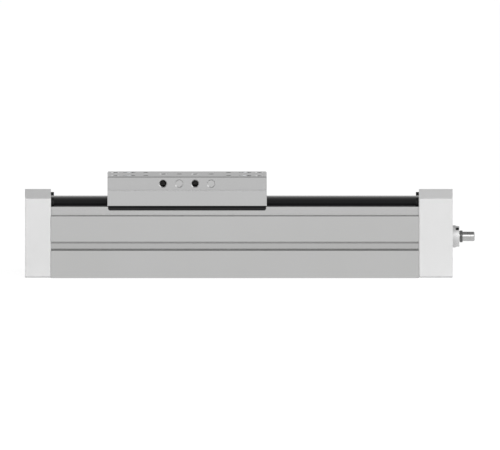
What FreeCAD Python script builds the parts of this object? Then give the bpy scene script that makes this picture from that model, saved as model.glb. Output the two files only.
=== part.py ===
import FreeCAD, Part
import math
import os

import Sketcher

# Sizes in millimetres. X runs along the axis towards the drive end, Z is up,
# and the origin is the middle of the profile's underside.
SIZES = {
    "profile_length": 231,
    "profile_width": 69,
    "rim_height": 44.25,
    "rim_rise": 5.3,
    "rim_draft": 0.3,
    "rim_thickness": 2,
    "shelf_depth": 8.5,
    "channel_floor": 9.5,
    "channel_wall": 2,
    "seat_height": 3.5,
    "seat_gap": 1.5,
    "groove_height": 17.2,
    "groove_mouth": 6,
    "groove_depth": 3.2,
    "groove_chamfer": 1,
    "groove_undercut": 0.75,
    "groove_undercut_height": 1.5,
    "foot_slot_wall": 1.25,
    "foot_slot_mouth": 5.2,
    "foot_slot_lip": 2,
    "foot_slot_inner": 9.5,
    "foot_slot_depth": 6,
    "chamber_width": 2.8,
    "chamber_clear": 4.5,
    "cap_bottom": 0.25,
    "cap_lid": 1.25,
    "cap_rounding": 0.4,
    "cap_chamfer": 1,
    "cap_joint_chamfer": 0.5,
    "cap_left_length": 16.25,
    "cap_screw_inset": 5.5,
    "cap_screw_low": 8,
    "cap_screw_drop": 6.5,
    "cap_screw_reach": 10,
    "cover_clearance": 0.6,
    "cover_float": 0.6,
    "cover_skirt": 4.5,
    "cover_rise": 2.45,
    "cover_flat": 0.38,
    "cover_shoulder": 4.3,
    "cover_wall": 2,
    "cover_roof": 1.5,
    "cover_inner_rise": 0.9,
    "cover_insert": 3,
    "cover_gap": 0.1,
    "bumper_width": 6,
    "bumper_standoff": 1.9,
    "bumper_stem": 3,
    "bumper_stem_length": 4.5,
    "end_thread": 3.3,
    "end_thread_depth": 10,
    "end_thread_spacing": 28,
    "motor_thread_spacing": 32,
    "slide_position": -30,
    "slide_length": 100,
    "saddle_overhang": 2,
    "saddle_gap": 0.8,
    "saddle_roof": 4.6,
    "leg_gap": 0.6,
    "leg_thickness": 5.8,
    "tunnel_gap": 0.7,
    "table_ledge": 9,
    "table_thickness": 8.4,
    "table_chamfer": 0.6,
    "table_draft": 0.45,
    "hole_row_inset": 7.7,
    "corner_hole_inset": 4.8,
    "table_screw_inset": 13.6,
    "table_screw_reach": 4.3,
    "inner_hole_inset": 24,
    "table_thread": 3.3,
    "table_thread_depth": 7,
    "locating_bore": 5.2,
    "locating_depth": 1.2,
    "sleeve_bore": 3.6,
    "sleeve_gap": 0.02,
    "sleeve_sink": 0.05,
    "sleeve_chamfer": 0.5,
    "port_inner": 5,
    "port_outer": 15.1,
    "port_rise": 4,
    "port_bore": 4.2,
    "port_depth": 16,
    "port_chamfer": 0.5,
    "plug_recess": 0.3,
    "plug_length": 5,
    "seal_gap": 0.3,
    "seal_thickness": 1.4,
    "seal_height": 2.95,
    "seal_end_inset": 0.4,
    "block_inset": 8,
    "block_drop": 2.85,
    "block_clamp": 5,
    "saddle_screw_inset": 12,
    "saddle_screw_reach": 7,
    "rail_width": 9,
    "rail_height": 6.5,
    "rail_end_inset": 1,
    "rail_notch": 0.7,
    "rail_notch_height": 3.6,
    "rail_thread_floor": 0.5,
    "rail_hole_inset": 15.5,
    "rail_head_depth": 3.4,
    "rail_screw_length": 6,
    "carriage_length": 28,
    "carriage_inset": 20,
    "carriage_height": 10,
    "carriage_body": 20,
    "carriage_flange": 30,
    "carriage_flange_float": 0.6,
    "carriage_float": 1.3,
    "guide_gap": 0.25,
    "guide_top_gap": 0.3,
    "carriage_cap_thickness": 2.5,
    "carriage_cap_step": 0.3,
    "carriage_hole_pitch": 18,
    "carriage_hole_rows": 25,
    "screw_rise": 9.8,
    "screw_width": 10,
    "raceway_lead": 10,
    "raceway_mouth": 2.6,
    "raceway_root": 1.2,
    "raceway_depth": 0.85,
    "raceway_inset": 8,
    "nut_width": 17.4,
    "nut_length": 28,
    "nut_flange_width": 30,
    "nut_flange_thickness": 5,
    "nut_flange_flat": 23.6,
    "nut_gap": 0.35,
    "nut_seat_gap": 0.05,
    "nut_hole_across": 21.8,
    "nut_hole_up": 10.2,
    "nut_screw_reach": 8,
    "wiper_width": 15,
    "wiper_thickness": 1.5,
    "drive_bore": 8,
    "drive_outside": 22,
    "drive_width": 7,
    "drive_shoulder": 3,
    "support_bore": 6,
    "support_outside": 19,
    "support_width": 6,
    "support_shoulder": 2.5,
    "support_seat_depth": 11,
    "ring_wall": 1.7,
    "ring_gap": 0.3,
    "ball_ring_inset": 1,
    "bearing_gap": 0.02,
    "bearing_pair_gap": 0.1,
    "clip_width": 8.4,
    "clip_thickness": 0.8,
    "journal_end": 10.2,
    "lock_nut_width": 12,
    "lock_nut_length": 3.5,
    "lock_nut_slot": 2,
    "lock_nut_slot_depth": 0.8,
    "spigot_length": 4.2,
    "flange_width": 33,
    "flange_thickness": 3,
    "flange_gap": 0.1,
    "boss_base": 14,
    "boss_tip": 12.8,
    "boss_length": 4.1,
    "boss_land": 1.7,
    "boss_step": 0.3,
    "flange_screw_circle": 28,
    "flange_screw_reach": 6,
    "shaft_width": 6,
    "shaft_length": 13.7,
    "shaft_chamfer": 0.5,
    "shaft_gap": 0.4,
    "lip_journal": 6.6,
    "lip_seal_width": 7.5,
    "lip_seal_length": 1.7,
    "lip_seal_gap": 0.3,
    "tiny_thread": 2.5,
    "tiny_head": 4.5,
    "tiny_head_height": 1.6,
    "tiny_socket": 1.5,
    "small_thread": 3,
    "small_head": 5.5,
    "small_head_height": 3,
    "main_thread": 4,
    "main_head": 7,
    "main_head_height": 4,
    "main_socket": 3,
    "thread_gap": 0.1,
    "clear_gap": 0.4,
    "head_gap": 0.6,
    "head_sink": 0.4,
}


class Dim:
    """A length with its present value and the formula the document keeps for it."""

    def __init__(self, value, text):
        self.value = float(value)
        self.text = text

    def __add__(self, other):
        other = as_dim(other)
        return Dim(self.value + other.value, f"({self.text} + {other.text})")

    def __radd__(self, other):
        return as_dim(other) + self

    def __sub__(self, other):
        other = as_dim(other)
        return Dim(self.value - other.value, f"({self.text} - {other.text})")

    def __rsub__(self, other):
        return as_dim(other) - self

    def __mul__(self, other):
        other = as_dim(other)
        return Dim(self.value * other.value, f"({self.text} * {other.text})")

    def __rmul__(self, other):
        return as_dim(other) * self

    def __truediv__(self, other):
        other = as_dim(other)
        return Dim(self.value / other.value, f"({self.text} / {other.text})")

    def __neg__(self):
        return Dim(-self.value, f"(-1 * {self.text})")


def as_dim(number):
    """Take a plain number as a length of its own."""
    if isinstance(number, Dim):
        return number
    return Dim(number, repr(float(number)))


class Sizes:
    """The sheet's cells, each one as a length bound to its alias."""

    def __init__(self, document, table):
        self.sheet = document.addObject("Spreadsheet::Sheet", "size")
        for row, (name, value) in enumerate(table.items(), start=1):
            self.sheet.set(f"A{row}", name)
            self.sheet.set(f"B{row}", str(value))
            self.sheet.setAlias(f"B{row}", name)
            setattr(self, name, Dim(value, f"size.{name}"))


# How far the raceway's cutting outline stands clear of the shaft
RACEWAY_OVERCUT = 0.2
SOCKET_SHARE = 0.6
# How near an edge lies to a plane or a size that it is picked by
SNAP = 1e-4

doc = FreeCAD.newDocument("ball_screw_axis")
d = Sizes(doc, SIZES)
doc.recompute()
parts = []


def bind(target, path, length):
    """Bind one property of a document object to the sheet."""
    target.setExpression(path, as_dim(length).text)


def part(label, x=0, y=0, z=0):
    """Start a named piece at its place in the assembly."""
    body = doc.addObject("PartDesign::Body", label)
    body.Label = label
    for axis, length in zip("xyz", (x, y, z)):
        bind(body, f"Placement.Base.{axis}", length)
    parts.append(body)
    return body


def origin_plane(body, role):
    """Find one of a body's own origin planes."""
    return next(item for item in body.Origin.OriginFeatures if item.Role == role)


def arc_between(start, end, radius):
    """Make an arc that turns left on its way from start to end."""
    chord = end - start
    height = math.sqrt(radius ** 2 - (chord.Length / 2) ** 2)
    left = FreeCAD.Vector(-chord.y, chord.x, 0).normalize()
    centre = (start + end) / 2 + left * height
    angles = [math.atan2(p.y - centre.y, p.x - centre.x) for p in (start, end)]
    circle = Part.Circle(centre, FreeCAD.Vector(0, 0, 1), radius)
    return Part.ArcOfCircle(circle, angles[0], angles[1])


def pin(profile, geometry, point, x, y):
    """Fix one point of a sketch by its two distances from the origin."""
    for kind, length in (("DistanceX", x), ("DistanceY", y)):
        length = as_dim(length)
        rule = Sketcher.Constraint(kind, -1, 1, geometry, point, length.value)
        bind(profile, f"Constraints[{profile.addConstraint(rule)}]", length)


def add_loop(profile, corners):
    """Draw a closed outline; a corner's third entry is the radius of the arc that leaves it."""
    spots = [FreeCAD.Vector(as_dim(c[0]).value, as_dim(c[1]).value, 0) for c in corners]
    first = profile.GeometryCount
    for index, corner in enumerate(corners):
        start = spots[index]
        end = spots[(index + 1) % len(spots)]
        if len(corner) == 3:
            profile.addGeometry(arc_between(start, end, corner[2].value))
            rule = Sketcher.Constraint("Radius", first + index, corner[2].value)
            bind(profile, f"Constraints[{profile.addConstraint(rule)}]", corner[2])
        else:
            profile.addGeometry(Part.LineSegment(start, end))
    for index, corner in enumerate(corners):
        following = first + (index + 1) % len(corners)
        profile.addConstraint(Sketcher.Constraint("Coincident", first + index, 2, following, 1))
    for index, corner in enumerate(corners):
        pin(profile, first + index, 1, corner[0], corner[1])


def add_circle(profile, x, y, width):
    """Draw a circle of a given diameter."""
    centre = FreeCAD.Vector(as_dim(x).value, as_dim(y).value, 0)
    circle = Part.Circle(centre, FreeCAD.Vector(0, 0, 1), as_dim(width).value / 2)
    number = profile.addGeometry(circle)
    rule = Sketcher.Constraint("Diameter", number, as_dim(width).value)
    bind(profile, f"Constraints[{profile.addConstraint(rule)}]", width)
    pin(profile, number, 3, x, y)


def sketch(body, role, loops=(), circles=(), offset=0):
    """Draw outlines and circles on one of the body's origin planes or beside it."""
    profile = body.newObject("Sketcher::SketchObject", f"{body.Name}_sketch")
    profile.AttachmentSupport = [(origin_plane(body, role), "")]
    profile.MapMode = "FlatFace"
    bind(profile, "AttachmentOffset.Base.z", offset)
    for corners in loops:
        add_loop(profile, corners)
    for x, y, width in circles:
        add_circle(profile, x, y, width)
    doc.recompute()
    return profile


def pad(body, profile, length, both=False, back=False):
    """Extrude a sketch, to both sides of its plane or back from it."""
    feature = body.newObject("PartDesign::Pad", f"{body.Name}_pad")
    feature.Profile = profile
    bind(feature, "Length", length)
    feature.SideType = "Symmetric" if both else "One side"
    feature.Reversed = back
    doc.recompute()
    return feature


def pocket(body, profile, length=None, along=False):
    """Cut a sketch out of the body, against its normal or along it; no length cuts right through."""
    before = body.Tip.Shape.Volume
    feature = body.newObject("PartDesign::Pocket", f"{body.Name}_pocket")
    feature.Profile = profile
    if length is None:
        feature.Type = "ThroughAll"
    else:
        bind(feature, "Length", length)
    feature.Reversed = along
    doc.recompute()
    if not feature.Shape.Volume < before:
        raise RuntimeError(f"a cut in {body.Label} removes nothing")
    return feature


def revolve(body, corners):
    """Turn an outline of lengths and radii about the body's own X axis."""
    profile = sketch(body, "XZ_Plane", loops=[corners])
    feature = body.newObject("PartDesign::Revolution", f"{body.Name}_turned")
    feature.Profile = profile
    feature.ReferenceAxis = (profile, ["H_Axis"])
    feature.Angle = 360
    doc.recompute()
    return feature


def raceway(body, start, length):
    """Cut the ball raceway into a shaft as a right-hand helix about the body's X axis."""
    surface = d.screw_width / 2
    flare = (d.raceway_mouth - d.raceway_root) / 2 * RACEWAY_OVERCUT / d.raceway_depth
    corners = [
        (start - d.raceway_mouth / 2 - flare, surface + RACEWAY_OVERCUT),
        (start - d.raceway_root / 2, surface - d.raceway_depth),
        (start + d.raceway_root / 2, surface - d.raceway_depth),
        (start + d.raceway_mouth / 2 + flare, surface + RACEWAY_OVERCUT),
    ]
    feature = body.newObject("PartDesign::SubtractiveHelix", f"{body.Name}_raceway")
    feature.Profile = sketch(body, "XZ_Plane", loops=[corners])
    feature.ReferenceAxis = (feature.Profile[0], ["H_Axis"])
    feature.Mode = "pitch-height-angle"
    bind(feature, "Pitch", d.raceway_lead)
    bind(feature, "Height", length)
    doc.recompute()
    return feature


def dress(body, kind, amount, pick):
    """Round or chamfer the edges of the body that a test picks."""
    tip = body.Tip
    names = [f"Edge{n}" for n, edge in enumerate(tip.Shape.Edges, start=1) if pick(edge)]
    feature = body.newObject(f"PartDesign::{kind}", f"{body.Name}_{kind.lower()}")
    feature.Base = (tip, names)
    bind(feature, "Radius" if kind == "Fillet" else "Size", amount)
    doc.recompute()
    return feature


def box_loop(low_x, high_x, low_y, high_y):
    """List the corners of an upright rectangle."""
    return [(low_x, low_y), (high_x, low_y), (high_x, high_y), (low_x, high_y)]


def mirrored(half):
    """Complete the right half of an outline with its mirror image about the vertical."""
    return half + [(-x, *rest) for x, *rest in reversed(half)]


def four(across, up, middle=0):
    """List the four corners of a hole pattern centred on the vertical."""
    return [(sx * across / 2, middle + sy * up / 2) for sx in (-1, 1) for sy in (-1, 1)]


def holes(spots, width):
    """Give every spot a circle of one diameter."""
    return [(x, y, width) for x, y in spots]


def hexagon(x, y, flats):
    """List the corners of a hexagon by its width across flats."""
    reach = flats / math.sqrt(3)
    turns = [math.radians(60 * n) for n in range(6)]
    return [(x + reach * math.cos(a), y + reach * math.sin(a)) for a in turns]


def screws(label, role, spots, name, seat, length, flip=False, socket=None, **place):
    """Make a group of socket head screws with their heads resting on one plane."""
    body = part(label, **place)
    thread = getattr(d, f"{name}_thread")
    head = getattr(d, f"{name}_head")
    height = getattr(d, f"{name}_head_height")
    pad(body, sketch(body, role, circles=holes(spots, head), offset=seat), height, back=flip)
    pad(body, sketch(body, role, circles=holes(spots, thread), offset=seat), length, back=not flip)
    if socket is not None:
        top = seat - height if flip else seat + height
        loops = [hexagon(x, y, socket) for x, y in spots]
        pocket(body, sketch(body, role, loops=loops, offset=top), height * SOCKET_SHARE, along=flip)
    return body


def ring(body, start, end, inside, outside):
    """Turn a plain ring between two stations, given by diameters."""
    return revolve(body, box_loop(start, end, inside / 2, outside / 2))


# Shared stations along the axis
half_length = d.profile_length / 2
slide_half = d.slide_length / 2
block_half = slide_half - d.block_inset
carriage_spread = block_half - d.carriage_inset
cap_right_length = d.drive_shoulder + 2 * d.drive_width + d.bearing_pair_gap + d.spigot_length

# Shared half widths, from the profile's outside inwards
half_width = d.profile_width / 2
rim_outer = half_width - d.shelf_depth
channel_half = rim_outer - d.rim_thickness
leg_outer = channel_half - d.leg_gap
leg_inner = leg_outer - d.leg_thickness
leg_middle = leg_outer - d.leg_thickness / 2
cover_half = leg_inner - d.cover_clearance
saddle_half_width = rim_outer + d.saddle_overhang
table_half = saddle_half_width - d.table_ledge
hole_row = table_half - d.hole_row_inset
seat_half = d.carriage_body / 2 + d.seat_gap

# Shared heights, from the rail seat and the rim upwards
shelf_height = d.rim_height - d.rim_rise
block_bottom = d.seat_height + d.carriage_height
screw_height = block_bottom + d.screw_rise
block_top = d.rim_height - d.block_drop
cover_bottom = block_top + d.cover_float
cover_side = cover_bottom + d.cover_skirt
cover_top = cover_side + d.cover_rise
cap_top = cover_top + d.cap_lid
saddle_bottom = d.rim_height + d.saddle_gap
tunnel_side = cover_side + d.tunnel_gap
saddle_top = tunnel_side + d.cover_rise + d.saddle_roof
table_top = saddle_top + d.table_thickness

# Shared hole places
cap_screw_high = shelf_height - d.cap_screw_drop
cap_screw_spots = [
    (side * (half_width - d.cap_screw_inset), height)
    for side in (-1, 1)
    for height in (d.cap_screw_low, cap_screw_high)
]
bumper_spots = [(side * leg_middle, cover_side) for side in (-1, 1)]
rail_spots = [
    ((2 * n / 6 - 1) * (half_length - d.rail_hole_inset), 0) for n in range(7)
]

# Base profile, an extrusion open at the top
base = part("base_profile")
slot_middle = seat_half + d.foot_slot_wall + d.foot_slot_inner / 2
groove_back = half_width - d.groove_depth
groove_floor = d.groove_height + d.groove_chamfer
groove_top = d.groove_height + d.groove_mouth
right_half = [
    (slot_middle - d.foot_slot_mouth / 2, 0),
    (slot_middle - d.foot_slot_mouth / 2, d.foot_slot_lip),
    (slot_middle - d.foot_slot_inner / 2, d.foot_slot_lip),
    (slot_middle - d.foot_slot_inner / 2, d.foot_slot_depth),
    (slot_middle + d.foot_slot_inner / 2, d.foot_slot_depth),
    (slot_middle + d.foot_slot_inner / 2, d.foot_slot_lip),
    (slot_middle + d.foot_slot_mouth / 2, d.foot_slot_lip),
    (slot_middle + d.foot_slot_mouth / 2, 0),
    (half_width, 0),
    (half_width, d.groove_height),
    (half_width - d.groove_chamfer, groove_floor),
    (groove_back, groove_floor),
    (groove_back, groove_top - d.groove_undercut_height),
    (groove_back - d.groove_undercut, groove_top - d.groove_undercut_height / 2),
    (groove_back, groove_top),
    (half_width, groove_top),
    (half_width, shelf_height),
    (rim_outer, shelf_height),
    (rim_outer - d.rim_draft, d.rim_height),
    (channel_half, d.rim_height),
    (channel_half, d.channel_floor),
    (seat_half, d.channel_floor),
    (seat_half, d.seat_height),
]
chamber_inner = channel_half + d.channel_wall
chamber_outer = chamber_inner + d.chamber_width
chambers = [
    box_loop(left, right, d.cap_screw_low + d.chamber_clear, cap_screw_high - d.chamber_clear)
    for left, right in ((-chamber_outer, -chamber_inner), (chamber_inner, chamber_outer))
]
section = sketch(
    base,
    "YZ_Plane",
    loops=[mirrored(right_half)] + chambers,
    circles=holes(cap_screw_spots, d.main_thread + d.thread_gap),
)
pad(base, section, d.profile_length, both=True)
rail_threads = holes(rail_spots, d.small_thread + d.thread_gap)
thread_seat = sketch(base, "XY_Plane", circles=rail_threads, offset=d.seat_height)
pocket(base, thread_seat, d.seat_height - d.rail_thread_floor)


def end_cap(label, side, length):
    """Make the common block of an end cap, standing out from the profile's end."""
    body = part(label, x=side * half_length)
    outline = box_loop(-half_width, half_width, d.cap_bottom, cap_top)
    pad(body, sketch(body, "YZ_Plane", loops=[outline]), length, back=side < 0)
    low = d.cap_bottom.value
    far = side * length.value

    def is_bottom(edge):
        box = edge.BoundBox
        return abs(box.ZMax - low) < SNAP and box.YLength < SNAP

    def is_joint(edge):
        box = edge.BoundBox
        on_inner_face = abs(box.XMin) < SNAP and box.XLength < SNAP
        return on_inner_face and box.YLength < SNAP

    def is_rounded(edge):
        box = edge.BoundBox
        on_end = abs(box.XMin - far) < SNAP and box.XLength < SNAP
        on_top = abs(box.ZMin - cap_top.value) < SNAP and box.YLength < SNAP
        return on_end or on_top

    dress(body, "Chamfer", d.cap_joint_chamfer, is_joint)
    dress(body, "Chamfer", d.cap_chamfer, is_bottom)
    dress(body, "Fillet", d.cap_rounding, is_rounded)
    inward = side > 0
    cover_slot = box_loop(
        -cover_half - d.cover_gap,
        cover_half + d.cover_gap,
        cover_bottom,
        cover_top + d.cover_gap,
    )
    pocket(body, sketch(body, "YZ_Plane", loops=[cover_slot]), d.cover_insert + d.cover_gap, along=inward)
    stems = holes(bumper_spots, d.bumper_stem + d.thread_gap)
    pocket(body, sketch(body, "YZ_Plane", circles=stems), d.bumper_stem_length + d.cover_gap, along=inward)
    shanks = holes(cap_screw_spots, d.main_thread + d.clear_gap)
    pocket(body, sketch(body, "YZ_Plane", circles=shanks), length, along=inward)
    heads = holes(cap_screw_spots, d.main_head + d.head_gap)
    outer = sketch(body, "YZ_Plane", circles=heads, offset=side * length)
    pocket(body, outer, d.main_head_height + d.head_sink, along=not inward)
    return body


cap_left = end_cap("end_cap_left", -1, d.cap_left_length)
seat = [(0, screw_height, d.support_outside + 2 * d.bearing_gap)]
pocket(cap_left, sketch(cap_left, "YZ_Plane", circles=seat), d.support_seat_depth)
foot_threads = holes(four(d.end_thread_spacing, d.end_thread_spacing, screw_height), d.end_thread)
outer_face = sketch(cap_left, "YZ_Plane", circles=foot_threads, offset=-d.cap_left_length)
pocket(cap_left, outer_face, d.end_thread_depth, along=True)

cap_right = end_cap("end_cap_right", 1, cap_right_length)
passage = [(0, screw_height, d.drive_outside - 2 * d.ring_wall)]
pocket(cap_right, sketch(cap_right, "YZ_Plane", circles=passage), cap_right_length, along=True)
seat = [(0, screw_height, d.drive_outside + 2 * d.bearing_gap)]
seat_face = sketch(cap_right, "YZ_Plane", circles=seat, offset=cap_right_length)
pocket(cap_right, seat_face, cap_right_length - d.drive_shoulder)
recess = [(0, screw_height, d.flange_width + 2 * d.flange_gap)]
recess_face = sketch(cap_right, "YZ_Plane", circles=recess, offset=cap_right_length)
pocket(cap_right, recess_face, d.flange_thickness)
motor_threads = holes(four(d.motor_thread_spacing, d.motor_thread_spacing, screw_height), d.end_thread)
outer_face = sketch(cap_right, "YZ_Plane", circles=motor_threads, offset=cap_right_length)
pocket(cap_right, outer_face, d.end_thread_depth)
flange_screw_spots = four(
    d.flange_screw_circle / math.sqrt(2), d.flange_screw_circle / math.sqrt(2), screw_height
)
flange_threads = holes(flange_screw_spots, d.tiny_thread + d.thread_gap)
thread_face = sketch(
    cap_right, "YZ_Plane", circles=flange_threads, offset=cap_right_length - d.flange_thickness
)
pocket(cap_right, thread_face, d.flange_screw_reach + d.head_sink)

# End cap screws, heads sunk in the outer faces
for label, side, length in (
    ("end_cap_screws_left", -1, d.cap_left_length),
    ("end_cap_screws_right", 1, cap_right_length),
):
    under_head = length - d.main_head_height - d.head_sink
    screws(
        label,
        "YZ_Plane",
        cap_screw_spots,
        "main",
        side * under_head,
        under_head + d.cap_screw_reach,
        flip=side < 0,
        socket=d.main_socket,
        x=side * half_length,
    )

# Rubber bumpers on the inner faces of the caps
for label, side in (("bumpers_left", -1), ("bumpers_right", 1)):
    body = part(label, x=side * half_length)
    heads = sketch(body, "YZ_Plane", circles=holes(bumper_spots, d.bumper_width))
    pad(body, heads, d.bumper_standoff, back=side > 0)
    stems = sketch(body, "YZ_Plane", circles=holes(bumper_spots, d.bumper_stem))
    pad(body, stems, d.bumper_stem_length, back=side < 0)

# Domed cover over the screw, its ends held in the caps: a crest arc that runs into two shoulder arcs,
# each of which leaves a short flat side
cover = part("top_cover")
shoulder = d.cover_shoulder
shoulder_low = cover_bottom + d.cover_flat
shoulder_out = cover_half - shoulder
shoulder_drop = cover_top - shoulder_low
squares = shoulder_drop * shoulder_drop - shoulder * shoulder + shoulder_out * shoulder_out
crest = squares / (2 * (shoulder_drop - shoulder))
crest_share = crest / (crest - shoulder)
crest_half = shoulder_out * crest_share
crest_base = cover_top - crest
crest_side = crest_base + (shoulder_low - crest_base) * crest_share
inner_half = cover_half - d.cover_wall
inner_side = cover_side - d.cover_roof
inner_top = inner_side + d.cover_inner_rise
cover_section = [
    (cover_half, cover_bottom),
    (cover_half, shoulder_low, shoulder),
    (crest_half, crest_side, crest),
    (-crest_half, crest_side, shoulder),
    (-cover_half, shoulder_low),
    (-cover_half, cover_bottom),
    (-inner_half, cover_bottom),
    (-inner_half, inner_side),
    (-inner_half + d.cover_inner_rise, inner_top),
    (inner_half - d.cover_inner_rise, inner_top),
    (inner_half, inner_side),
    (inner_half, cover_bottom),
]
pad(cover, sketch(cover, "YZ_Plane", loops=[cover_section]), d.profile_length + 2 * d.cover_insert, both=True)

# Guide rail with a raceway along each flank
rail = part("guide_rail", z=d.seat_height)
rail_half = [
    (d.rail_width / 2, 0),
    (d.rail_width / 2, d.rail_notch_height - d.rail_notch),
    (d.rail_width / 2 - d.rail_notch, d.rail_notch_height),
    (d.rail_width / 2, d.rail_notch_height + d.rail_notch),
    (d.rail_width / 2, d.rail_height),
]
rail_section = sketch(rail, "YZ_Plane", loops=[mirrored(rail_half)])
pad(rail, rail_section, d.profile_length - 2 * d.rail_end_inset, both=True)
shanks = holes(rail_spots, d.small_thread + d.clear_gap)
pocket(rail, sketch(rail, "XY_Plane", circles=shanks, offset=d.rail_height), d.rail_height)
heads = holes(rail_spots, d.small_head + d.head_gap)
pocket(rail, sketch(rail, "XY_Plane", circles=heads, offset=d.rail_height), d.rail_head_depth)
screws(
    "rail_screws",
    "XY_Plane",
    rail_spots,
    "small",
    d.rail_height - d.rail_head_depth,
    d.rail_screw_length,
    z=d.seat_height,
)

# Guide carriages with flanges, end caps and screws
rail_top = d.seat_height + d.rail_height
carriage_bottom = d.seat_height + d.carriage_float
carriage_flange_bottom = d.channel_floor + d.carriage_flange_float
carriage_half = [
    (d.carriage_flange / 2, carriage_flange_bottom),
    (d.carriage_flange / 2, block_bottom),
]
carriage_inner = [
    (-d.carriage_flange / 2, block_bottom),
    (-d.carriage_flange / 2, carriage_flange_bottom),
    (-d.carriage_body / 2, carriage_flange_bottom),
    (-d.carriage_body / 2, carriage_bottom),
    (-d.rail_width / 2 - d.guide_gap, carriage_bottom),
    (-d.rail_width / 2 - d.guide_gap, rail_top + d.guide_top_gap),
    (d.rail_width / 2 + d.guide_gap, rail_top + d.guide_top_gap),
    (d.rail_width / 2 + d.guide_gap, carriage_bottom),
    (d.carriage_body / 2, carriage_bottom),
    (d.carriage_body / 2, carriage_flange_bottom),
]
carriage_holes = four(d.carriage_hole_pitch, d.carriage_hole_rows)
for label, side in (("guide_carriage_left", -1), ("guide_carriage_right", 1)):
    body = part(label, x=d.slide_position + side * carriage_spread)
    outline = sketch(body, "YZ_Plane", loops=[carriage_half + carriage_inner])
    pad(body, outline, d.carriage_length, both=True)
    threads = holes(carriage_holes, d.small_thread + d.thread_gap)
    depth = block_bottom - carriage_flange_bottom
    pocket(body, sketch(body, "XY_Plane", circles=threads, offset=block_bottom), depth)

caps = part("carriage_end_caps", x=d.slide_position)
step = d.carriage_cap_step
cap_half = [
    (d.rail_width / 2 + d.guide_gap + step, carriage_bottom + step),
    (d.carriage_body / 2 - step, carriage_bottom + step),
    (d.carriage_body / 2 - step, block_bottom - step),
]
cap_outline = cap_half + [
    (-d.carriage_body / 2 + step, block_bottom - step),
    (-d.carriage_body / 2 + step, carriage_bottom + step),
    (-d.rail_width / 2 - d.guide_gap - step, carriage_bottom + step),
    (-d.rail_width / 2 - d.guide_gap - step, rail_top + d.guide_top_gap + step),
    (d.rail_width / 2 + d.guide_gap + step, rail_top + d.guide_top_gap + step),
]
for side in (-1, 1):
    for end in (-1, 1):
        station = side * carriage_spread + end * d.carriage_length / 2
        outline = sketch(caps, "YZ_Plane", loops=[cap_outline], offset=station)
        pad(caps, outline, d.carriage_cap_thickness, back=end < 0)

# Driver block on the carriages, carrying the ball nut
block = part("driver_block", x=d.slide_position)
block_section = sketch(
    block,
    "YZ_Plane",
    loops=[box_loop(-leg_outer, leg_outer, block_bottom, block_top)],
    circles=[(0, screw_height, d.nut_width + 2 * d.nut_seat_gap)],
)
pad(block, block_section, 2 * block_half, both=True)
carriage_screw_seat = block_bottom + d.block_clamp
carriage_screw_spots = [
    (side * carriage_spread + x, y) for side in (-1, 1) for x, y in carriage_holes
]
saddle_screw_spots = [
    (n * (block_half - d.saddle_screw_inset), side * leg_middle)
    for n in (-1, 0, 1)
    for side in (-1, 1)
]
clearance = d.small_thread + d.clear_gap
through = holes(carriage_screw_spots + saddle_screw_spots, clearance)
pocket(
    block,
    sketch(block, "XY_Plane", circles=through, offset=block_top),
    block_top - block_bottom,
)
heads = holes(carriage_screw_spots, d.small_head + d.head_gap)
pocket(
    block,
    sketch(block, "XY_Plane", circles=heads, offset=block_top),
    block_top - carriage_screw_seat,
)
nut_hole_spots = four(d.nut_hole_across, d.nut_hole_up, screw_height)
nut_threads = sketch(
    block,
    "YZ_Plane",
    circles=holes(nut_hole_spots, d.small_thread + d.thread_gap),
    offset=-block_half,
)
pocket(block, nut_threads, d.nut_screw_reach + d.head_sink, along=True)
screws(
    "carriage_screws",
    "XY_Plane",
    carriage_screw_spots,
    "small",
    carriage_screw_seat,
    carriage_screw_seat - carriage_flange_bottom,
    x=d.slide_position,
)
screws(
    "saddle_screws",
    "XY_Plane",
    saddle_screw_spots,
    "small",
    block_bottom,
    block_top - block_bottom + d.saddle_screw_reach,
    flip=True,
    x=d.slide_position,
)

# Ball nut with its flange, screws and wipers
nut_x = d.slide_position - block_half
nut = part("ball_nut", x=nut_x, z=screw_height)
nut_bore = d.screw_width + 2 * d.nut_gap
revolve(
    nut,
    [
        (-d.nut_flange_thickness, nut_bore / 2),
        (d.nut_length, nut_bore / 2),
        (d.nut_length, d.nut_width / 2),
        (0, d.nut_width / 2),
        (0, d.nut_flange_width / 2),
        (-d.nut_flange_thickness, d.nut_flange_width / 2),
    ],
)
flats = [
    box_loop(-d.nut_flange_width / 2, d.nut_flange_width / 2, low, high)
    for low, high in (
        (d.nut_flange_flat / 2, d.nut_flange_width),
        (-d.nut_flange_width, -d.nut_flange_flat / 2),
    )
]
pocket(nut, sketch(nut, "YZ_Plane", loops=flats), d.nut_flange_thickness)
nut_clearance = holes(four(d.nut_hole_across, d.nut_hole_up), clearance)
pocket(nut, sketch(nut, "YZ_Plane", circles=nut_clearance), d.nut_flange_thickness)
screws(
    "nut_flange_screws",
    "YZ_Plane",
    four(d.nut_hole_across, d.nut_hole_up),
    "small",
    -d.nut_flange_thickness,
    d.nut_flange_thickness + d.nut_screw_reach,
    flip=True,
    x=nut_x,
    z=screw_height,
)
wipers = part("nut_wipers", x=nut_x, z=screw_height)
for start in (d.nut_length, -d.nut_flange_thickness - d.wiper_thickness):
    ring(wipers, start, start + d.wiper_thickness, nut_bore, d.wiper_width)

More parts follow.
